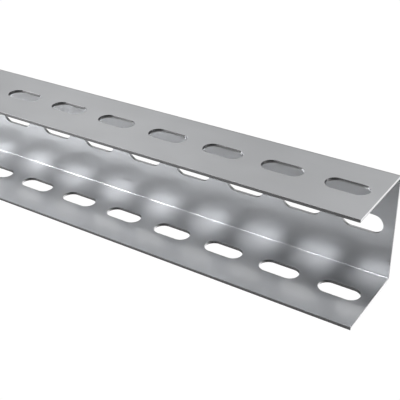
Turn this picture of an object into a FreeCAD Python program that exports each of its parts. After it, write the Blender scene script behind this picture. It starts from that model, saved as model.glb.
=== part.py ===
import FreeCAD, Part
import math
import os
import Sketcher

# Perforated U-channel, one metre of stock folded from one sheet of galvanised steel.
# The web stands upright, the two flanges reach forward from it, one above the other,
# and each of the three faces carries one straight row of long round-ended slots.
# X runs along the stock, Y from the flanges' open edges to the web, Z upwards.
# The origin is the middle of the underside that the channel stands on.

# Driving sizes in millimetres: name, value, what it is.
SIZES = [
    ("stock_length", 1000.0, "overall length of the cut stock"),
    ("web_width", 90.0, "outside of one flange to outside of the other"),
    ("flange_depth", 70.0, "open edge of a flange to the outside of the web"),
    ("sheet_thickness", 2.5, "thickness of the sheet"),
    ("fold_radius", 1.0, "inside radius of both folds"),
    ("slot_length", 33.0, "slot from end to end"),
    ("slot_width", 15.5, "slot across, and the diameter of its round ends"),
    ("slot_pitch", 50.0, "centre to centre of neighbouring slots"),
]

NODE = "u_channel"

# Positions inside one piece of sketch geometry: its first end, its last end, its centre.
FIRST, LAST, CENTRE = 1, 2, 3
# The sketch's own horizontal axis and its origin point.
SKETCH_AXIS = -1
SKETCH_ORIGIN = (-1, 1)


def write_sheet(document):
    """Keep every driving size in a spreadsheet cell with its own alias."""
    sheet = document.addObject("Spreadsheet::Sheet", "Sizes")
    for row, (alias, value, meaning) in enumerate(SIZES, start=1):
        sheet.set(f"A{row}", alias)
        sheet.set(f"B{row}", str(value))
        sheet.set(f"C{row}", meaning)
        sheet.setAlias(f"B{row}", alias)
    document.recompute()
    return sheet


def origin_feature(body, role):
    """Find one of the body's own origin planes or axes."""
    return next(item for item in body.Origin.OriginFeatures if item.Role == role)


def new_sketch(body, name, plane):
    """Start a sketch that lies flat on one of the body's origin planes."""
    sketch = body.newObject("Sketcher::SketchObject", name)
    sketch.AttachmentSupport = [(origin_feature(body, plane), "")]
    sketch.MapMode = "FlatFace"
    return sketch


def add_line(sketch, start, end):
    """Draw a straight edge between two points of the sketch plane."""
    return sketch.addGeometry(Part.LineSegment(FreeCAD.Vector(*start), FreeCAD.Vector(*end)), False)


def add_arc(sketch, centre, radius, start_angle, end_angle):
    """Draw an anticlockwise arc, its angles in degrees."""
    circle = Part.Circle(FreeCAD.Vector(*centre), FreeCAD.Vector(0, 0, 1), radius)
    start, end = math.radians(start_angle), math.radians(end_angle)
    return sketch.addGeometry(Part.ArcOfCircle(circle, start, end), False)


def join(sketch, kind, pairs):
    """Join ends of edges, either corner to corner or running smoothly on."""
    for first, first_end, second, second_end in pairs:
        sketch.addConstraint(Sketcher.Constraint(kind, first, first_end, second, second_end))


def align(sketch, kind, edges):
    """Hold each of the edges level or upright."""
    for edge in edges:
        sketch.addConstraint(Sketcher.Constraint(kind, edge))


def bind(sketch, name, constraint, formula):
    """Add a dimension under a name and drive it from the sheet."""
    index = sketch.addConstraint(constraint)
    sketch.renameConstraint(index, name)
    sketch.setExpression(f"Constraints.{name}", formula)


def require_fixed(sketch):
    """Refuse a sketch that leaves anything free to move."""
    sketch.solve()
    if not sketch.FullyConstrained:
        raise RuntimeError(f"{sketch.Name} is not fully constrained")


def draw_section(body, sheet):
    """Draw the folded sheet's cross-section, of one thickness all the way round.

    The inner and outer arc of each fold share a centre, so the sheet keeps its
    thickness round the bend as a folded sheet does.
    """
    half = sheet.flange_depth / 2
    width = sheet.web_width
    thickness = sheet.sheet_thickness
    inner = sheet.fold_radius
    outer = inner + thickness
    low_centre = (half - outer, outer)
    high_centre = (half - outer, width - outer)

    section = new_sketch(body, "FoldedSection", "YZ_Plane")
    underside = add_line(section, (-half, 0), (half - outer, 0))
    low_outer_fold = add_arc(section, low_centre, outer, -90, 0)
    web_back = add_line(section, (half, outer), (half, width - outer))
    high_outer_fold = add_arc(section, high_centre, outer, 0, 90)
    top = add_line(section, (half - outer, width), (-half, width))
    top_edge = add_line(section, (-half, width), (-half, width - thickness))
    ceiling = add_line(section, (-half, width - thickness), (half - outer, width - thickness))
    high_inner_fold = add_arc(section, high_centre, inner, 0, 90)
    web_front = add_line(section, (half - thickness, width - outer), (half - thickness, outer))
    low_inner_fold = add_arc(section, low_centre, inner, -90, 0)
    tray = add_line(section, (half - outer, thickness), (-half, thickness))
    low_edge = add_line(section, (-half, thickness), (-half, 0))

    join(section, "Tangent", [
        (underside, LAST, low_outer_fold, FIRST),
        (low_outer_fold, LAST, web_back, FIRST),
        (web_back, LAST, high_outer_fold, FIRST),
        (high_outer_fold, LAST, top, FIRST),
        (ceiling, LAST, high_inner_fold, LAST),
        (high_inner_fold, FIRST, web_front, FIRST),
        (web_front, LAST, low_inner_fold, LAST),
        (low_inner_fold, FIRST, tray, FIRST),
    ])
    join(section, "Coincident", [
        (top, LAST, top_edge, FIRST),
        (top_edge, LAST, ceiling, FIRST),
        (tray, LAST, low_edge, FIRST),
        (low_edge, LAST, underside, FIRST),
        (low_outer_fold, CENTRE, low_inner_fold, CENTRE),
        (high_outer_fold, CENTRE, high_inner_fold, CENTRE),
    ])
    align(section, "Horizontal", [underside, top, ceiling, tray])
    align(section, "Vertical", [web_back, web_front, top_edge, low_edge])
    section.addConstraint(Sketcher.Constraint("Equal", low_inner_fold, high_inner_fold))
    section.addConstraint(Sketcher.Constraint("Vertical", underside, FIRST, top, LAST))
    section.addConstraint(Sketcher.Constraint("PointOnObject", underside, FIRST, SKETCH_AXIS))

    bind(section, "FoldRadius",
         Sketcher.Constraint("Radius", low_inner_fold, inner),
         "Sizes.fold_radius")
    bind(section, "Thickness",
         Sketcher.Constraint("DistanceY", underside, FIRST, tray, LAST, thickness),
         "Sizes.sheet_thickness")
    bind(section, "Width",
         Sketcher.Constraint("DistanceY", underside, FIRST, top, LAST, width),
         "Sizes.web_width")
    bind(section, "Depth",
         Sketcher.Constraint("DistanceX", underside, FIRST, low_outer_fold, LAST, 2 * half),
         "Sizes.flange_depth")
    bind(section, "OpenEdge",
         Sketcher.Constraint("DistanceX", underside, FIRST, *SKETCH_ORIGIN, half),
         "Sizes.flange_depth / 2")
    require_fixed(section)
    return section


# How many whole slots the length holds. They are centred along it, so the
# rows begin and end half a pitch from the cut ends when the pitch divides it.
SLOT_COUNT = "floor(Sizes.stock_length / Sizes.slot_pitch)"
FIRST_SLOT_REACH = f"({SLOT_COUNT} - 1) * Sizes.slot_pitch / 2"


def draw_slot(body, sheet, name, plane, row_height, row_formula):
    """Draw the first slot of a row, two straight sides between two half circles.

    The row lies row_height above the sketch's horizontal axis, by row_formula.
    """
    radius = sheet.slot_width / 2
    half_run = (sheet.slot_length - sheet.slot_width) / 2
    count = sheet.stock_length // sheet.slot_pitch
    middle = -(count - 1) * sheet.slot_pitch / 2
    left, right = middle - half_run, middle + half_run
    low, high = row_height - radius, row_height + radius

    slot = new_sketch(body, name, plane)
    upper_side = add_line(slot, (left, high), (right, high))
    right_end = add_arc(slot, (right, row_height), radius, -90, 90)
    lower_side = add_line(slot, (right, low), (left, low))
    left_end = add_arc(slot, (left, row_height), radius, 90, 270)

    join(slot, "Tangent", [
        (upper_side, LAST, right_end, LAST),
        (right_end, FIRST, lower_side, FIRST),
        (lower_side, LAST, left_end, LAST),
        (left_end, FIRST, upper_side, FIRST),
    ])
    align(slot, "Horizontal", [upper_side])
    slot.addConstraint(Sketcher.Constraint("Equal", left_end, right_end))

    bind(slot, "EndRadius",
         Sketcher.Constraint("Radius", right_end, radius),
         "Sizes.slot_width / 2")
    bind(slot, "Run",
         Sketcher.Constraint("DistanceX", left_end, CENTRE, right_end, CENTRE, 2 * half_run),
         "Sizes.slot_length - Sizes.slot_width")
    bind(slot, "Reach",
         Sketcher.Constraint("DistanceX", left_end, CENTRE, *SKETCH_ORIGIN, -left),
         f"{FIRST_SLOT_REACH} + (Sizes.slot_length - Sizes.slot_width) / 2")
    if row_formula:
        bind(slot, "Row",
             Sketcher.Constraint("DistanceY", *SKETCH_ORIGIN, left_end, CENTRE, row_height),
             row_formula)
    else:
        slot.addConstraint(Sketcher.Constraint("PointOnObject", left_end, CENTRE, SKETCH_AXIS))
    require_fixed(slot)
    return slot


def punch(body, name, sketch, upwards=False):
    """Cut a slot through everything on one side of its sketch, and check that it bites."""
    before = body.Shape.Volume
    pocket = body.newObject("PartDesign::Pocket", name)
    pocket.Profile = sketch
    pocket.Type = "ThroughAll"
    pocket.Reversed = upwards
    body.Document.recompute()
    if not pocket.Shape.Volume < before:
        raise RuntimeError(f"{name} cuts nothing")
    return pocket


def build_channel(document, sheet):
    """Fold the sheet, punch one slot in each face and repeat the slots along the stock."""
    body = document.addObject("PartDesign::Body", "Channel")
    body.Label = NODE

    section = draw_section(body, sheet)
    stock = body.newObject("PartDesign::Pad", "FoldedSheet")
    stock.Profile = section
    stock.Type = "Length"
    stock.SideType = "Symmetric"
    stock.setExpression("Length", "Sizes.stock_length")
    document.recompute()

    flange_slot = draw_slot(body, sheet, "FlangeSlot", "XY_Plane", 0.0, None)
    web_slot = draw_slot(body, sheet, "WebSlot", "XZ_Plane",
                         sheet.web_width / 2, "Sizes.web_width / 2")
    flange_cut = punch(body, "FlangeCut", flange_slot, upwards=True)
    web_cut = punch(body, "WebCut", web_slot)

    rows = body.newObject("PartDesign::LinearPattern", "SlotRows")
    rows.Originals = [flange_cut, web_cut]
    rows.Direction = (origin_feature(body, "X_Axis"), [""])
    rows.Mode = "Spacing"
    rows.setExpression("Offset", "Sizes.slot_pitch")
    rows.setExpression("Occurrences", SLOT_COUNT)
    body.Tip = rows
    body.Placement = FreeCAD.Placement()
    document.recompute()
    if not rows.Shape.Volume < web_cut.Shape.Volume:
        raise RuntimeError("the rows repeat no slot")
    return body


def check(document, bodies):
    """Refuse to write anything from a document that holds a failed object."""
    for item in document.Objects:
        if "Invalid" in item.State or "Error" in item.State:
            raise RuntimeError(f"{item.Name} failed: {item.State}")
    for body in bodies:
        if body.Shape.isNull() or not body.Shape.isValid():
            raise RuntimeError(f"{body.Label} has no valid shape")
        if len(body.Shape.Solids) != 1:
            raise RuntimeError(f"{body.Label} is not one solid")


def main():
    document = FreeCAD.newDocument("PerforatedChannel")
    sheet = write_sheet(document)
    channel = build_channel(document, sheet)
    document.recompute()
    check(document, [channel])

    os.makedirs("parts", exist_ok=True)
    channel.Shape.exportStep(f"parts/{channel.Label}.step")
    box = channel.Shape.BoundBox
    print(f"{channel.Label}: {box.XLength:.2f} x {box.YLength:.2f} x {box.ZLength:.2f} mm,"
          f" {channel.Shape.Volume:.1f} mm3, {len(channel.Shape.Faces)} faces")


main()
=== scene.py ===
import logging
import math
from dataclasses import dataclass, field
from enum import Enum
from typing import Mapping, Sequence, Union

import bmesh
import bpy
from mathutils import Euler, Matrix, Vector


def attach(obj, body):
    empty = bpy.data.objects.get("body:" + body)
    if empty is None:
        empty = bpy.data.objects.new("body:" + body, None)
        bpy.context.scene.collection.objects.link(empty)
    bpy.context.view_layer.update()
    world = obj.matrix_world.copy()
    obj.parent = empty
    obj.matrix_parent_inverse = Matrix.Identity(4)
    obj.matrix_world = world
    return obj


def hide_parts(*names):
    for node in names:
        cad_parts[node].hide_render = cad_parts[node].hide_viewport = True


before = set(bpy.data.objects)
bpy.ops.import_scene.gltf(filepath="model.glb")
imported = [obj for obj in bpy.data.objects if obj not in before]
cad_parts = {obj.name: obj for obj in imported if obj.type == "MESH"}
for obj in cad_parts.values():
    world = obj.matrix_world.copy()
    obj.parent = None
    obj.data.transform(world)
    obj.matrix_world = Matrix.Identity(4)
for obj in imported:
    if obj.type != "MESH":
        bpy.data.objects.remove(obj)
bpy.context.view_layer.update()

log = logging.getLogger("perforated_channel")

Number = Union[int, float]
Pair = tuple[float, float]
Triple = tuple[float, float, float]
Row = Sequence[bmesh.types.BMVert]
Rim = Sequence[bmesh.types.BMEdge]

NOISE_SPAN: Pair = (0.3, 0.7)  # soft noise lies mostly between these


class Edge(Enum):
    """How an edge of the sheet was cut, by the number of its material on the finished piece."""

    PUNCHED = 1
    SAWN = 2


class Value:
    """One number, colour or vector of a shader, which stands in a Python expression."""

    def __init__(self, graph: "Graph", socket: bpy.types.NodeSocket) -> None:
        """Hold a socket together with the graph that it belongs to."""
        self.graph = graph
        self.socket = socket

    def _maths(self, operation: str, *values: "Input") -> "Value":
        """Add one Math node on the given inputs."""
        return self.graph.node("ShaderNodeMath", {"operation": operation}, dict(enumerate(values)))

    def __add__(self, other: "Input") -> "Value":
        """Add a number."""
        return self._maths("ADD", self, other)

    __radd__ = __add__

    def __mul__(self, other: "Input") -> "Value":
        """Multiply by a number."""
        return self._maths("MULTIPLY", self, other)

    __rmul__ = __mul__

    def __sub__(self, other: "Input") -> "Value":
        """Take a number away."""
        return self._maths("SUBTRACT", self, other)

    def __rsub__(self, other: "Input") -> "Value":
        """Be taken away from a number."""
        return self._maths("SUBTRACT", other, self)

    def exp(self) -> "Value":
        """Raise e to this number."""
        return self._maths("EXPONENT", self)

    def dot(self, other: Triple) -> "Value":
        """Multiply this vector by a fixed one, as a dot product."""
        return self.graph.node(
            "ShaderNodeVectorMath", {"operation": "DOT_PRODUCT"}, {0: self, 1: other}, "Value"
        )

    def ramp(self, low: float, high: float, start: float = 0.0, end: float = 1.0) -> "Value":
        """Run smoothly from one number to another.

        Args:
            low: where the change begins.
            high: where it ends.
            start: the result up to low.
            end: the result from high on.

        Returns:
            The eased number.
        """
        return self.graph.node(
            "ShaderNodeMapRange",
            {"interpolation_type": "SMOOTHSTEP", "clamp": True},
            {"Value": self, "From Min": low, "From Max": high, "To Min": start, "To Max": end},
        )


Input = Union[Value, Number, Sequence[float]]


def add_node(
    tree: bpy.types.NodeTree,
    kind: str,
    settings: Mapping[str, object],
    sockets: Mapping[Union[int, str], object],
) -> bpy.types.Node:
    """Add a node to a tree.

    Args:
        tree: the tree of a material, of the surroundings or of a modifier.
        kind: the node's type.
        settings: the node's own settings, set before its sockets.
        sockets: the number or link of each input, by name or place.

    Returns:
        The node.
    """
    made = tree.nodes.new(kind)
    for name, setting in settings.items():
        setattr(made, name, setting)
    for key, given in sockets.items():
        if isinstance(given, bpy.types.NodeSocket):
            tree.links.new(given, made.inputs[key])
        else:
            made.inputs[key].default_value = given
    return made


@dataclass(frozen=True)
class ClearLayer:
    """The thin clear film over the metal, which adds a sharp reflection to the soft one."""

    weight: float = 1.0
    roughness: float = 0.1
    ior: float = 2.2

    def sockets(self) -> dict[str, float]:
        """Give the shader's numbers for it."""
        return {"Coat Weight": self.weight, "Coat Roughness": self.roughness, "Coat IOR": self.ior}


class Graph:
    """The node tree of a material or of the surroundings, written as expressions."""

    def __init__(self, owner: Union[bpy.types.Material, bpy.types.World], output: str) -> None:
        """Start an empty tree.

        Args:
            owner: the material or world that gets the tree.
            output: the type of its output node.
        """
        owner.use_nodes = True
        self.tree = owner.node_tree
        self.tree.nodes.clear()
        self.output = self.tree.nodes.new(output)

    def node(
        self,
        kind: str,
        settings: Mapping[str, object],
        sockets: Mapping[Union[int, str], Input],
        output: Union[int, str] = 0,
    ) -> Value:
        """Add any node.

        Args:
            kind: the node's type.
            settings: the node's own settings.
            sockets: the number or value of each input, by name or place.
            output: the output that is wanted.

        Returns:
            That output.
        """
        plain = {
            key: given.socket if isinstance(given, Value) else given
            for key, given in sockets.items()
        }
        return Value(self, add_node(self.tree, kind, settings, plain).outputs[output])

    def place(self, stretch: Triple = (1.0, 1.0, 1.0)) -> Value:
        """Read the place on the piece, with each axis stretched."""
        here = self.node("ShaderNodeTexCoord", {}, {}, "Object")
        return self.node("ShaderNodeMapping", {}, {"Vector": here, "Scale": stretch})

    def attribute(self, name: str) -> Value:
        """Read a number that the mesh carries."""
        return self.node("ShaderNodeAttribute", {"attribute_name": name}, {}, "Fac")

    def noise(self, at: Value, scale: float, detail: float, roughness: float = 0.5) -> Value:
        """Read soft random variation about 0.5.

        Args:
            at: the place that it is read at.
            scale: how many blotches there are in a metre.
            detail: how many finer layers it has.
            roughness: how strong the finer layers are.

        Returns:
            The variation there.
        """
        return self.node(
            "ShaderNodeTexNoise",
            {"noise_dimensions": "3D"},
            {"Vector": at, "Scale": scale, "Detail": detail, "Roughness": roughness},
        )

    def shades(self, factor: Input, tint: Triple, low: float, high: float) -> Value:
        """Run from a darker to a lighter shade of a colour.

        Args:
            factor: 0 for the darker shade, 1 for the lighter one.
            tint: the colour.
            low: what the darker shade multiplies it by.
            high: what the lighter shade multiplies it by.

        Returns:
            The colour.
        """
        dark, light = (tuple(part * share for part in tint) + (1.0,) for share in (low, high))
        return self.node("ShaderNodeMix", {"data_type": "RGBA"}, {0: factor, 6: dark, 7: light}, 2)

    def metal(
        self, colour: Value, roughness: Input, height: Value, depth: float, share: float = 1.0
    ) -> None:
        """Finish a material as bare or coated metal.

        Args:
            colour: what the metal reflects.
            roughness: how matt it is.
            height: its fine relief, from 0 to 1.
            depth: how deep that relief is, in metres.
            share: how much of it reflects as bare metal does.
        """
        relief = self.node(
            "ShaderNodeBump", {}, {"Strength": 1.0, "Distance": depth, "Height": height}
        )
        sockets = {"Base Color": colour, "Metallic": share, "Roughness": roughness,
                   "Normal": relief, **ClearLayer().sockets()}
        self.finish(self.node("ShaderNodeBsdfPrincipled", {}, sockets))

    def finish(self, shader: Value) -> None:
        """Connect the shader to the output."""
        self.tree.links.new(shader.socket, self.output.inputs["Surface"])


@dataclass(frozen=True)
class ZincSheet:
    """Smooth satin zinc on rolled steel sheet, with faint streaks along the stock."""

    tint: Triple = (0.652, 0.664, 0.684)
    contrast: Pair = (0.985, 1.015)
    roughness: float = 0.40
    spread: float = 0.015
    share: float = 0.955
    streaks: Triple = (4.0, 260.0, 260.0)
    streak_share: float = 0.25
    clouds: Triple = (0.6, 1.0, 1.0)
    clouds_per_metre: float = 38.0
    depth: float = 0.000002

    def material(self) -> bpy.types.Material:
        """Build the finish.

        Returns:
            The material, which reads the place on the piece.
        """
        made = bpy.data.materials.new("zinc_sheet")
        graph = Graph(made, "ShaderNodeOutputMaterial")
        streaks = graph.noise(graph.place(self.streaks), scale=1.0, detail=4.0, roughness=0.6)
        clouds = graph.noise(graph.place(self.clouds), self.clouds_per_metre, detail=3.0)
        mottle = streaks * self.streak_share + clouds * (1 - self.streak_share)
        colour = graph.shades(mottle.ramp(*NOISE_SPAN), self.tint, *self.contrast)
        rough = clouds.ramp(*NOISE_SPAN, self.roughness - self.spread, self.roughness + self.spread)
        graph.metal(colour, rough, streaks, self.depth, self.share)
        return made


@dataclass(frozen=True)
class PunchedEdge:
    """Cut steel in a slot or along an open edge: a smooth sheared band above a torn one."""

    tint: Triple = (0.57, 0.57, 0.583)
    contrast: Pair = (0.8, 1.12)
    sheared: float = 0.22
    torn: float = 0.36
    tear_line: float = -0.0001
    blend: float = 0.00012
    raggedness: float = 0.0005
    tears_per_metre: float = 1400.0
    grains_per_metre: float = 5200.0
    grain_share: float = 0.3
    scores: Triple = (2600.0, 2600.0, 60.0)
    score_share: float = 0.3
    depth: float = 0.00003

    def material(self) -> bpy.types.Material:
        """Build the finish.

        Returns:
            The material, which reads the place on the piece.
        """
        made = bpy.data.materials.new("punched_edge")
        graph = Graph(made, "ShaderNodeOutputMaterial")
        ragged = graph.noise(graph.place(), self.tears_per_metre, detail=2.0)
        level = graph.attribute("out") + (ragged - 0.5) * self.raggedness
        smooth = level.ramp(self.tear_line - self.blend, self.tear_line + self.blend)
        grain = graph.noise(graph.place(), self.grains_per_metre, detail=2.0)
        scores = graph.noise(graph.place(self.scores), scale=1.0, detail=1.0)
        mottle = smooth * (1 - self.grain_share) + grain * self.grain_share
        colour = graph.shades(mottle, self.tint, *self.contrast)
        rough = smooth.ramp(0.0, 1.0, self.torn, self.sheared)
        relief = (1 - smooth) * grain + smooth * scores * self.score_share
        graph.metal(colour, rough, relief, self.depth)
        return made


@dataclass(frozen=True)
class SawnEndPaintedLight:
    """Steel where the stock was sawn to length, with fine upright saw lines, painted lighter to
    look lit.
    """

    # painted light: the ends' steel is coloured far lighter than the punched steel so that the ends
    # look lit
    tint: Triple = (0.86, 0.855, 0.85)
    contrast: Pair = (0.86, 1.1)
    roughness: float = 0.34
    spread: float = 0.05
    lines: Triple = (1.0, 1900.0, 90.0)
    depth: float = 0.00001

    def material(self) -> bpy.types.Material:
        """Build the finish.

        Returns:
            The material, which reads the place on the piece.
        """
        made = bpy.data.materials.new("sawn_end_painted_light")
        graph = Graph(made, "ShaderNodeOutputMaterial")
        lines = graph.noise(graph.place(self.lines), scale=1.0, detail=2.0)
        colour = graph.shades(lines, self.tint, *self.contrast)
        rough = lines.ramp(*NOISE_SPAN, self.roughness - self.spread, self.roughness + self.spread)
        graph.metal(colour, rough, lines, self.depth)
        return made


@dataclass
class FoldedSection:
    """The channel's cross-section: one sheet of even thickness with two round folds.

    A place on it is given by how far along the sheet it lies, from the lower open edge
    to the upper one, and how far out it stands from the middle of the thickness.
    """

    depth: float = 0.070
    width: float = 0.090
    thickness: float = 0.0025
    fold_radius: float = 0.0006

    def __post_init__(self) -> None:
        """Work out the lengths of the flats and the folds."""
        self.half = self.thickness / 2
        self.outer_radius = self.fold_radius + self.thickness
        self.flange = self.depth - self.outer_radius
        self.web = self.width - 2 * self.outer_radius
        self.fold = math.pi / 2 * (self.fold_radius + self.half)
        self.length = 2 * self.flange + 2 * self.fold + self.web

    def joints(self) -> tuple[float, float, float, float]:
        """Give where the lower fold, the web, the upper fold and the top flange begin."""
        web = self.flange + self.fold
        return self.flange, web, web + self.web, web + self.web + self.fold

    def point(self, along: float, out: float) -> Pair:
        """Find a place on the section.

        Args:
            along: distance along the sheet from the lower open edge.
            out: distance from the middle of the thickness towards the outside.

        Returns:
            Y and Z.
        """
        lower, web, upper, top = self.joints()
        if along > self.length / 2:
            y, z = self.point(self.length - along, out)
            return y, self.width - z
        corner = self.depth / 2 - self.outer_radius
        if along <= lower:
            return along - self.depth / 2, self.half - out
        if along < web:
            reach = self.fold_radius + self.half + out
            angle = (along - lower) / (self.fold_radius + self.half)
            return corner + reach * math.sin(angle), self.outer_radius - reach * math.cos(angle)
        return self.depth / 2 - self.half + out, self.outer_radius + along - web


@dataclass
class PunchedSlot:
    """One punched slot: a rim rolled over by the punch outside, a torn rim inside."""

    length: float = 0.033
    width: float = 0.0155
    end_steps: int = 12
    side_steps: int = 2

    def outline(self, wider: float) -> list[Pair]:
        """Trace the slot.

        Args:
            wider: how far outside the slot's own edge the outline runs.

        Returns:
            Points round the slot from its long axis on, as distances from its centre.
        """
        radius = self.width / 2 + wider
        run = (self.length - self.width) / 2
        turn = [math.pi / 2 * i / self.end_steps for i in range(self.end_steps + 1)]
        quarter = [(run + radius * math.cos(angle), radius * math.sin(angle)) for angle in turn]
        quarter += [(run * (1 - i / self.side_steps), radius)
                    for i in range(1, self.side_steps + 1)]
        return mirror_round(quarter)

    def border(self, reach: Pair) -> list[Pair]:
        """Trace the oblong of sheet round the slot, in step with its outline.

        Args:
            reach: half the oblong's length and half its width.

        Returns:
            As many points as outline() gives.
        """
        rise = self.end_steps // 2
        across = self.end_steps - rise + self.side_steps
        quarter = [(reach[0], reach[1] * i / rise) for i in range(rise + 1)]
        quarter += [(reach[0] * (1 - i / across), reach[1]) for i in range(1, across + 1)]
        return mirror_round(quarter)


def mirror_round(quarter: Sequence[Pair]) -> list[Pair]:
    """Mirror a quarter of an outline into a whole one, with each point once."""
    half = list(quarter) + [(-x, y) for x, y in reversed(quarter[:-1])]
    return half + [(x, -y) for x, y in reversed(half[1:-1])]


class SheetMesh:
    """A mesh laid out on the unfolded sheet, which knows each vertex's place on it."""

    decimals: int = 7

    def __init__(self, section: FoldedSection) -> None:
        """Start an empty mesh.

        Args:
            section: the folded section that the sheet is laid out on.
        """
        self.section = section
        self.mesh = bmesh.new()
        self.along = self.mesh.verts.layers.float.new("along")
        self.out = self.mesh.verts.layers.float.new("out")
        self.cut = self.mesh.faces.layers.int.new("cut")
        self.known: dict[Triple, bmesh.types.BMVert] = {}

    def vertex(self, x: float, along: float, out: float) -> bmesh.types.BMVert:
        """Find or make the vertex at a place.

        Args:
            x: place along the stock.
            along: place across the unfolded sheet.
            out: distance from the middle of its thickness.

        Returns:
            The one vertex there.
        """
        key = tuple(round(part, self.decimals) for part in (x, along, out))
        if key not in self.known:
            made = self.mesh.verts.new((x, *self.section.point(along, out)))
            made[self.along], made[self.out] = along, out
            self.known[key] = made
        return self.known[key]

    def band(self, first: Row, second: Row, cut: bool, ring: bool) -> None:
        """Join two rows of vertices with faces.

        Args:
            first: one row.
            second: the other, in step with it.
            cut: whether the faces are cut metal.
            ring: whether each row closes on itself.
        """
        for i in range(len(first) if ring else len(first) - 1):
            j = (i + 1) % len(first)
            face = self.mesh.faces.new((first[i], first[j], second[j], second[i]))
            face[self.cut] = Edge.PUNCHED.value if cut else 0

    def bands(self, rows: Sequence[Row], cuts: range, ring: bool = True) -> None:
        """Join rows of vertices in turn, with the bands numbered in cuts as cut metal."""
        for i, (first, second) in enumerate(zip(rows, rows[1:])):
            self.band(first, second, i in cuts, ring)

    def to_object(self, name: str) -> bpy.types.Object:
        """Turn the mesh into an object of the scene.

        Args:
            name: what the object and its mesh are called.

        Returns:
            The object.
        """
        data = bpy.data.meshes.new(name)
        self.mesh.to_mesh(data)
        self.mesh.free()
        return add_object(name, data)


def rim_vertices(rim: Rim) -> Row:
    """List the vertices of a rim, each once and in the order of its edges."""
    return list(dict.fromkeys(vertex for edge in rim for vertex in edge.verts))


def add_object(name: str, data: bpy.types.ID) -> bpy.types.Object:
    """Put an object into the scene.

    Args:
        name: what it is called.
        data: its mesh, light or camera.

    Returns:
        The object, at the origin.
    """
    made = bpy.data.objects.new(name, data)
    bpy.context.scene.collection.objects.link(made)
    return made


@dataclass
class RowOfPitches:
    """The node tree that repeats one pitch of punched sheet along the stock."""

    pitch: float = 0.050
    count: int = 20
    weld: float = 0.000001
    inputs: dict[str, str] = field(init=False, default_factory=dict)

    def node(
        self, kind: str, sockets: Mapping[Union[int, str], object], **settings: object
    ) -> bpy.types.Node:
        """Add a node to the tree, with its own settings by name."""
        return add_node(self.tree, kind, settings, sockets)

    def build(self) -> bpy.types.NodeTree:
        """Make the tree, with the number of pitches, their spacing and both finishes as inputs.

        Returns:
            The geometry tree.
        """
        self.tree = bpy.data.node_groups.new("row_of_pitches", "GeometryNodeTree")
        for name, kind in (("Sheet", "Geometry"), ("Pitches", "Int"), ("Spacing", "Float"),
                           ("Surface", "Material"), ("Cut", "Material")):
            port = self.tree.interface.new_socket(
                name, in_out="INPUT", socket_type=f"NodeSocket{kind}"
            )
            self.inputs[name] = port.identifier
        self.tree.interface.new_socket("Stock", in_out="OUTPUT", socket_type="NodeSocketGeometry")
        given = self.node("NodeGroupInput", {}).outputs
        gaps = self.node("ShaderNodeMath", {0: given["Pitches"], 1: 1.0}, operation="SUBTRACT")
        span = self.node("ShaderNodeMath", {0: gaps.outputs[0], 1: given["Spacing"]},
                         operation="MULTIPLY")
        start = self.node("ShaderNodeMath", {0: span.outputs[0], 1: -0.5}, operation="MULTIPLY")
        first = self.node("ShaderNodeCombineXYZ", {"X": start.outputs[0]})
        step = self.node("ShaderNodeCombineXYZ", {"X": given["Spacing"]})
        line = self.node(
            "GeometryNodeMeshLine",
            {"Count": given["Pitches"], "Start Location": first.outputs[0],
             "Offset": step.outputs[0]},
            mode="OFFSET",
        )
        copies = self.node("GeometryNodeInstanceOnPoints",
                           {"Points": line.outputs[0], "Instance": given["Sheet"]})
        real = self.node("GeometryNodeRealizeInstances", {"Geometry": copies.outputs[0]})
        whole = self.node("GeometryNodeMergeByDistance",
                          {"Geometry": real.outputs[0], "Distance": self.weld})
        coated = self.node("GeometryNodeSetMaterial",
                           {"Geometry": whole.outputs[0], "Material": given["Surface"]})
        cut = self.node("GeometryNodeInputNamedAttribute", {"Name": "cut"}, data_type="INT")
        shorn = self.node(
            "GeometryNodeSetMaterial",
            {"Geometry": coated.outputs[0], "Selection": cut.outputs[0], "Material": given["Cut"]},
        )
        self.node("NodeGroupOutput", {0: shorn.outputs[0]})
        return self.tree


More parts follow.
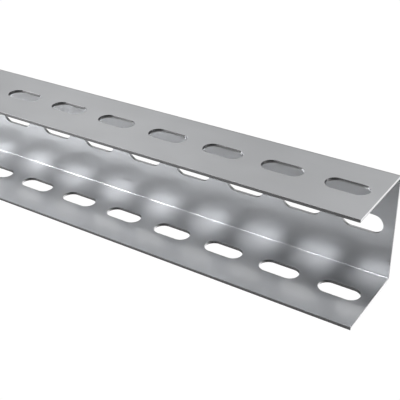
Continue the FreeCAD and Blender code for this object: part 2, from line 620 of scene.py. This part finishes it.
@dataclass
class PerforatedChannel:
    """The whole channel: one sheet, punched with a row of slots for each face and folded twice.

    The rolled and the torn rim of a cut edge are given as set-back and depth below the
    surface, and the line between its smooth and its torn band as distance from the middle.
    """

    name: str = "channel_sheet"
    node: str = "u_channel"
    body: str = "root"
    slot_name: str = "zinc_coated_steel"
    row: RowOfPitches = field(default_factory=RowOfPitches)
    section: FoldedSection = field(default_factory=FoldedSection)
    slot: PunchedSlot = field(default_factory=PunchedSlot)
    rolled_rim: tuple[Pair, ...] = (
        (0.00008, 0.0), (0.00003, 0.00002), (0.00001, 0.00006), (0.0, 0.00014)
    )
    tear_line: float = PunchedEdge.tear_line
    torn_rim: tuple[Pair, ...] = ((0.00003, 0.00030), (0.00005, 0.00006), (0.00007, 0.0))
    rim: float = 0.00012
    keep_flat: float = 0.0008
    end_break: float = 0.00015
    fold_steps: int = 8
    end_tolerance: float = 0.00001
    crease: float = 0.3

    def cut_profile(self) -> list[Pair]:
        """Trace a cut edge through the sheet.

        Returns:
            Set-back and distance from the middle, from outside to inside.
        """
        half = self.section.half
        outside = [(setback, half - depth) for setback, depth in self.rolled_rim]
        inside = [(setback, depth - half) for setback, depth in self.torn_rim]
        return [*outside, (0.0, self.tear_line), *inside]

    def build_pitch(self) -> bpy.types.Object:
        """Make one pitch of the folded sheet with its three slots, open at both ends.

        Returns:
            The length of sheet that repeats, centred on its slots.
        """
        sheet = SheetMesh(self.section)
        half = self.section.half
        reach = self.row.pitch / 2
        profile = self.cut_profile()
        bare = range(3, len(profile) + 1)  # the zinc rolls over as far as the profile's second row
        lower, web, upper, top = self.section.joints()
        whole, depth = self.section.length, self.section.depth
        lip = profile[0][0] + self.rim
        # a border has the same places along the stock whatever its width, so any width gives them
        columns = sorted({round(x, 9) for x, _ in self.slot.border((reach, depth))})

        def line(along: float, out: float) -> Row:
            """Lay a straight row of vertices along the stock."""
            return [sheet.vertex(x, along, out) for x in columns]

        def ring(points: Sequence[Pair], about: float, out: float) -> Row:
            """Lay a closed row of vertices round a slot."""
            return [sheet.vertex(x, about + s, out) for x, s in points]

        for start, end, centre in (
            (lip + self.keep_flat, lower - self.keep_flat, depth / 2),
            (web + self.keep_flat, upper - self.keep_flat, whole / 2),
            (top + self.keep_flat, whole - lip - self.keep_flat, whole - depth / 2),
        ):
            size = (reach, (end - start) / 2)
            middle = (start + end) / 2
            rows = [ring(self.slot.border(size), middle, half),
                    ring(self.slot.outline(lip), centre, half)]
            rows += [ring(self.slot.outline(back), centre, out) for back, out in profile]
            rows += [ring(self.slot.outline(profile[-1][0] + self.rim), centre, -half),
                     ring(self.slot.border(size), middle, -half)]
            sheet.bands(rows, bare)

        for start, end in ((lower, web), (upper, top)):
            turn = [start + (end - start) * i / self.fold_steps for i in range(self.fold_steps + 1)]
            turn = [start - self.keep_flat, *turn, end + self.keep_flat]
            for out in (half, -half):
                sheet.bands([line(along, out) for along in turn], range(0), ring=False)

        for edge, inwards in ((0.0, 1.0), (whole, -1.0)):
            back = [(lip + self.keep_flat, half), (lip, half), *profile,
                    (lip, -half), (lip + self.keep_flat, -half)]
            rows = [line(edge + inwards * setback, out) for setback, out in back]
            sheet.bands(rows, bare, ring=False)
        return sheet.to_object("sheet_pitch")

    def build(self) -> bpy.types.Object:
        """Repeat the pitch along the stock and close the sawn ends.

        Returns:
            The channel as one closed mesh.
        """
        source = self.build_pitch()
        modifier = source.modifiers.new("row", "NODES")
        modifier.node_group = self.row.build()
        for name, given in (("Pitches", self.row.count), ("Spacing", self.row.pitch),
                            ("Surface", ZincSheet().material()), ("Cut", PunchedEdge().material())):
            modifier[self.row.inputs[name]] = given
        evaluated = source.evaluated_get(bpy.context.evaluated_depsgraph_get())
        data = bpy.data.meshes.new_from_object(evaluated)
        bpy.data.objects.remove(source)
        self.close_ends(data)
        data.name = self.name
        return add_object(self.name, data)

    def close_ends(self, data: bpy.types.Mesh) -> None:
        """Close both ends of the sheet with a sawn face and a broken edge.

        Args:
            data: the open mesh, changed in place.
        """
        # the sawn faces get painted light: steel coloured lighter than the punched edges
        data.materials.append(SawnEndPaintedLight().material())
        mesh = bmesh.new()
        mesh.from_mesh(data)
        end = self.row.pitch * self.row.count / 2
        drawn_in = 1 - self.end_break / self.section.half
        for side in (-1.0, 1.0):
            rim = [edge for edge in mesh.edges if edge.is_boundary
                   and all(abs(v.co.x - side * end) < self.end_tolerance for v in edge.verts)]
            for vertex in rim_vertices(rim):
                vertex.co.x = side * (end - self.keep_flat - self.end_break)
            for x, inset in ((end - self.end_break, 1.0), (end, drawn_in)):
                rim = self.grow_rim(mesh, rim, side * x, inset)
            cap = bmesh.ops.triangle_fill(mesh, edges=rim, use_beauty=True)
            for face in (item for item in cap["geom"] if isinstance(item, bmesh.types.BMFace)):
                face.material_index = Edge.SAWN.value
        bmesh.ops.recalc_face_normals(mesh, faces=mesh.faces)
        for face in mesh.faces:
            face.smooth = True
        for edge in mesh.edges:
            edge.smooth = edge.calc_face_angle(0.0) < self.crease
        mesh.to_mesh(data)
        mesh.free()

    def grow_rim(self, mesh: bmesh.types.BMesh, rim: Rim, x: float, inset: float) -> Rim:
        """Lengthen the sheet from an open rim by one band, with the faces in a fixed order.

        Args:
            mesh: the mesh, changed in place.
            rim: the edges of the open rim.
            x: where the band ends along the stock.
            inset: how much of the sheet's thickness is left there.

        Returns:
            The edges of the new rim.
        """
        along = mesh.verts.layers.float["along"]
        out = mesh.verts.layers.float["out"]
        grown = {}
        for vertex in rim_vertices(rim):
            place = self.section.point(vertex[along], vertex[out] * inset)
            grown[vertex] = mesh.verts.new((x, *place), vertex)
        far_rim = []
        for edge in rim:
            loop = edge.link_loops[0]
            first, second = loop.link_loop_next.vert, loop.vert
            corners = (first, second, grown[second], grown[first])
            face = mesh.faces.new(corners, loop.face)
            if inset < 1:
                face.material_index = Edge.SAWN.value
            far_rim.append(mesh.edges.get(corners[2:]))
        return far_rim

    def dress(self, piece: bpy.types.Object) -> None:
        """Tie the channel to the model in place of its plain solid.

        Args:
            piece: the finished channel.
        """
        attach(piece, self.body)
        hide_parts(self.node)


@dataclass(frozen=True)
class Glow:
    """A soft bright region of the surroundings, like a large lit panel.

    Its bearing is counted from the channel's near end towards its web, and its height
    from the level, both in degrees.
    """

    bearing: float
    height: float
    spread: float
    strength: float

    def add(self, direction: Value) -> Value:
        """Work out this region's light.

        Args:
            direction: where a ray goes.

        Returns:
            How bright the region is there.
        """
        bearing, height, spread = (
            math.radians(angle) for angle in (self.bearing, self.height, self.spread)
        )
        level = math.cos(height)
        aim = (level * math.cos(bearing), level * math.sin(bearing), math.sin(height))
        return ((direction.dot(aim) - 1) * (1 / spread ** 2)).exp() * self.strength


@dataclass(frozen=True)
class Softbox:
    """A soft light far above the channel.

    Where it hangs is told by how far along and across it is for each metre of height;
    its size is an angle in degrees.
    """

    name: str
    along: float
    across: float
    size: float
    strength: float

    def hang(self) -> None:
        """Add the light to the scene."""
        data = bpy.data.lights.new(self.name, "SUN")
        data.angle = math.radians(self.size)
        data.energy = self.strength
        light = add_object(self.name, data)
        towards = Vector((self.along, self.across, 1.0))
        light.rotation_euler = towards.to_track_quat("Z", "Y").to_euler()


@dataclass
class Studio:
    """The plain surroundings: a white floor and cove, soft light and the camera."""

    eye: Triple = (0.6596, -0.45019, 0.36473)
    turn: Triple = (59.28144, 1.19437, 33.48804)
    lens: float = 72.982
    sensor: float = 36.0
    cove_radius: float = 20.0
    cove_white: float = 1.02
    cove_tint: Triple = (1.0, 1.0, 1.0)
    cove_contrast: Pair = (0.995, 1.0)
    floor_gap: float = 0.0002
    boxes: tuple[Softbox, ...] = (
        Softbox("front_softbox", -0.165, -0.285, 9.0, 2.9),
        Softbox("left_softbox", -0.82, -0.335, 13.0, 3.95),
    )
    ambient: float = 0.02
    glows: tuple[Glow, ...] = (
        Glow(106.0, 36.0, 9.0, 0.82),
        Glow(134.0, 28.0, 9.0, 0.77),
        Glow(-133.0, 2.0, 12.0, 2.7),
        Glow(-149.0, 41.0, 10.0, 0.3),
        Glow(75.0, -50.0, 25.0, 1.9),
        Glow(58.0, 12.0, 20.0, 0.75),
        Glow(-108.0, -36.0, 30.0, 0.1),
    )

    def build(self) -> None:
        """Set up the camera, the white cove and the light."""
        self.add_camera()
        self.add_cove()
        for box in self.boxes:
            box.hang()
        self.add_surroundings()
        bpy.context.scene.view_settings.view_transform = "Standard"

    def add_camera(self) -> None:
        """Place the camera where the photograph was taken from."""
        data = bpy.data.cameras.new("view")
        data.lens = self.lens
        data.sensor_width = self.sensor
        data.clip_start = 0.01
        camera = add_object("view", data)
        camera.location = self.eye
        camera.rotation_euler = Euler([math.radians(angle) for angle in self.turn])
        bpy.context.scene.camera = camera

    def add_cove(self) -> None:
        """Lay a pale floor that runs up into a wall all round, seen by the camera alone."""
        mesh = bmesh.new()
        bmesh.ops.create_uvsphere(mesh, u_segments=48, v_segments=24, radius=self.cove_radius)
        for vertex in mesh.verts:
            vertex.co.z = max(vertex.co.z, -self.floor_gap)
        bmesh.ops.remove_doubles(mesh, verts=mesh.verts, dist=0.0001)
        data = bpy.data.meshes.new("white_cove")
        mesh.to_mesh(data)
        mesh.free()
        cove = add_object("white_cove", data)
        made = bpy.data.materials.new("white_cove")
        graph = Graph(made, "ShaderNodeOutputMaterial")
        mottle = graph.noise(graph.place(), scale=3.0, detail=2.0)
        paint = graph.shades(mottle, self.cove_tint, *self.cove_contrast)
        light = graph.node("ShaderNodeEmission", {}, {"Color": paint, "Strength": self.cove_white})
        graph.finish(light)
        data.materials.append(made)
        cove.visible_diffuse = cove.visible_glossy = cove.visible_shadow = False

    def add_surroundings(self) -> None:
        """Fill the room with low light and a few large soft panels."""
        world = bpy.data.worlds.new("surroundings")
        graph = Graph(world, "ShaderNodeOutputWorld")
        direction = graph.node("ShaderNodeTexCoord", {}, {}, "Generated")
        light = self.ambient + self.glows[0].add(direction)
        for glow in self.glows[1:]:
            light = light + glow.add(direction)
        graph.finish(graph.node("ShaderNodeBackground", {}, {"Strength": light}))
        bpy.context.scene.world = world


def main() -> None:
    """Build the channel and its surroundings in order."""
    logging.basicConfig(level=logging.INFO, format="%(name)s: %(message)s")
    channel = PerforatedChannel()
    piece = channel.build()
    channel.dress(piece)
    log.info("%s: %d faces", piece.name, len(piece.data.polygons))
    Studio().build()
    log.info("camera, cove and light are set")


if __name__ == "__main__":
    main()
